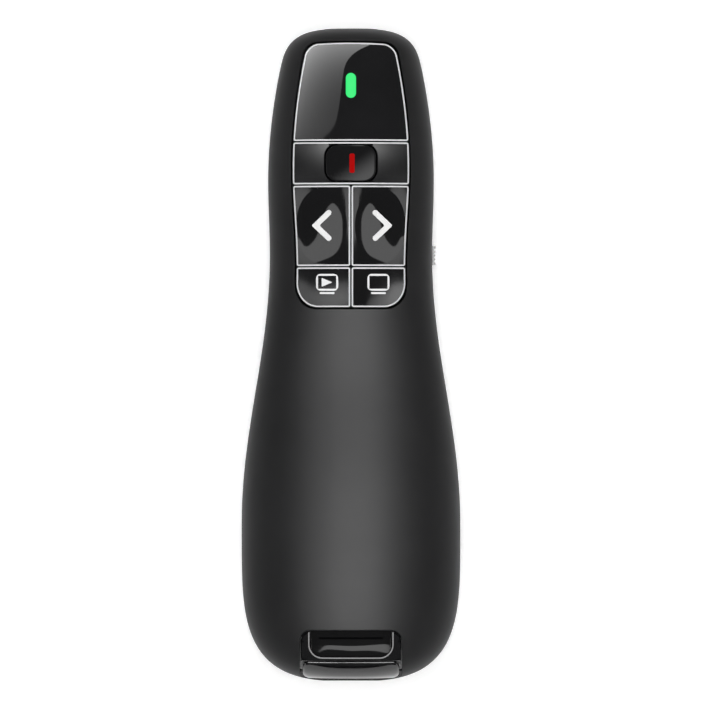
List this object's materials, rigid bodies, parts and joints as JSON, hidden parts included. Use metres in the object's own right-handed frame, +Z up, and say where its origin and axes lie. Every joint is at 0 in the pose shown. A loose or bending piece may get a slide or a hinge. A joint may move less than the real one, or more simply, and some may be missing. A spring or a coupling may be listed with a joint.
{
  "type": "wireless presentation clicker",
  "caption": "Hand-held slide clicker with a waisted two-part shell, glossy keypad, laser pointer, battery door and a receiver stowed in the tail.",
  "frame": {"origin": "middle of the footprint, on the surface that the clicker lies on, keys up", "axes": "+Y from the tail to the nose, +Z up through the keys, +X to the right when the nose points away"},
  "size_m": [0.0388, 0.1156, 0.0266],
  "materials": {
    "soft_touch_shell": "soft-touch paint over moulded plastic, fine even grain",
    "lower_shell": "fine spark-eroded grain",
    "nose_tint": "polished infrared-dark acrylic",
    "carrier_black": "as moulded",
    "window_gloss": "polished smoked acrylic",
    "light_green": "lit diffuse light pipe",
    "key_gloss": "piano black, polished, with a bright bevelled edge",
    "white_plastic": "as moulded",
    "switch_black": "as moulded",
    "board_green": "solder mask",
    "steel": "nickel plated",
    "brass": "turned",
    "lens": "polished",
    "red_wire": "extruded insulation",
    "black_wire": "extruded insulation",
    "knob_black": "as moulded, ribbed",
    "cell_sleeve": "printed sleeve, plain"
  },
  "bodies": {
    "housing": {"top_housing": "soft_touch_shell", "bottom_housing": "lower_shell", "nose_window": "nose_tint", "keypad_carrier": "carrier_black", "status_window": "window_gloss", "status_light_pipe": "light_green", "laser_bezel": "key_gloss", "key_switches": "switch_black", "main_board": "board_green", "board_screws": "steel", "status_led": "white_plastic", "radio_chip": "switch_black", "clock_crystal": "steel", "laser_barrel": "brass", "laser_lens": "lens", "laser_board": "board_green", "laser_leads": "red_wire", "power_switch": "steel", "battery_tray": "carrier_black", "left_cell": "cell_sleeve", "right_cell": "cell_sleeve", "battery_springs": "steel", "battery_contacts": "steel", "battery_leads": "black_wire", "case_screws": "steel"},
    "laser_button": {"laser_button": "key_gloss", "laser_plunger": "white_plastic"},
    "back_key": {"back_key": "key_gloss", "back_plunger": "white_plastic"},
    "forward_key": {"forward_key": "key_gloss", "forward_plunger": "white_plastic"},
    "slideshow_key": {"slideshow_key": "key_gloss", "slideshow_plunger": "white_plastic"},
    "screen_key": {"screen_key": "key_gloss", "screen_plunger": "white_plastic"},
    "power_knob": {"power_knob": "knob_black"},
    "battery_door": {"battery_door": "lower_shell"},
    "receiver": {"receiver_cap": "key_gloss", "receiver_collar": "key_gloss", "receiver_plug": "steel", "receiver_tongue": "white_plastic", "receiver_contacts": "brass", "receiver_board": "board_green"}
  },
  "joints": [
    {"name": "laser_button_press", "type": "slide", "parent": "housing", "child": "laser_button", "axis": [0, 0, -1], "range_m": [0, 0.00035], "stiffness_N_per_m": 2500, "springref_m": -0.0003},
    {"name": "back_key_press", "type": "slide", "parent": "housing", "child": "back_key", "axis": [0, 0, -1], "range_m": [0, 0.00035], "stiffness_N_per_m": 2500, "springref_m": -0.0003},
    {"name": "forward_key_press", "type": "slide", "parent": "housing", "child": "forward_key", "axis": [0, 0, -1], "range_m": [0, 0.00035], "stiffness_N_per_m": 2500, "springref_m": -0.0003},
    {"name": "slideshow_key_press", "type": "slide", "parent": "housing", "child": "slideshow_key", "axis": [0, 0, -1], "range_m": [0, 0.00035], "stiffness_N_per_m": 2500, "springref_m": -0.0003},
    {"name": "screen_key_press", "type": "slide", "parent": "housing", "child": "screen_key", "axis": [0, 0, -1], "range_m": [0, 0.00035], "stiffness_N_per_m": 2500, "springref_m": -0.0003},
    {"name": "power_slide", "type": "slide", "parent": "housing", "child": "power_knob", "axis": [0, 1, 0], "range_m": [0, 0.002]},
    {"name": "battery_door_hinge", "type": "hinge", "parent": "housing", "child": "battery_door", "pos_m": [0, -0.04615, 0], "axis": [-1, 0, 0], "range_deg": [0, 28]},
    {"name": "receiver_pull", "type": "slide", "parent": "housing", "child": "receiver", "axis": [0, -1, 0], "range_m": [0, 0.048]}
  ]
}
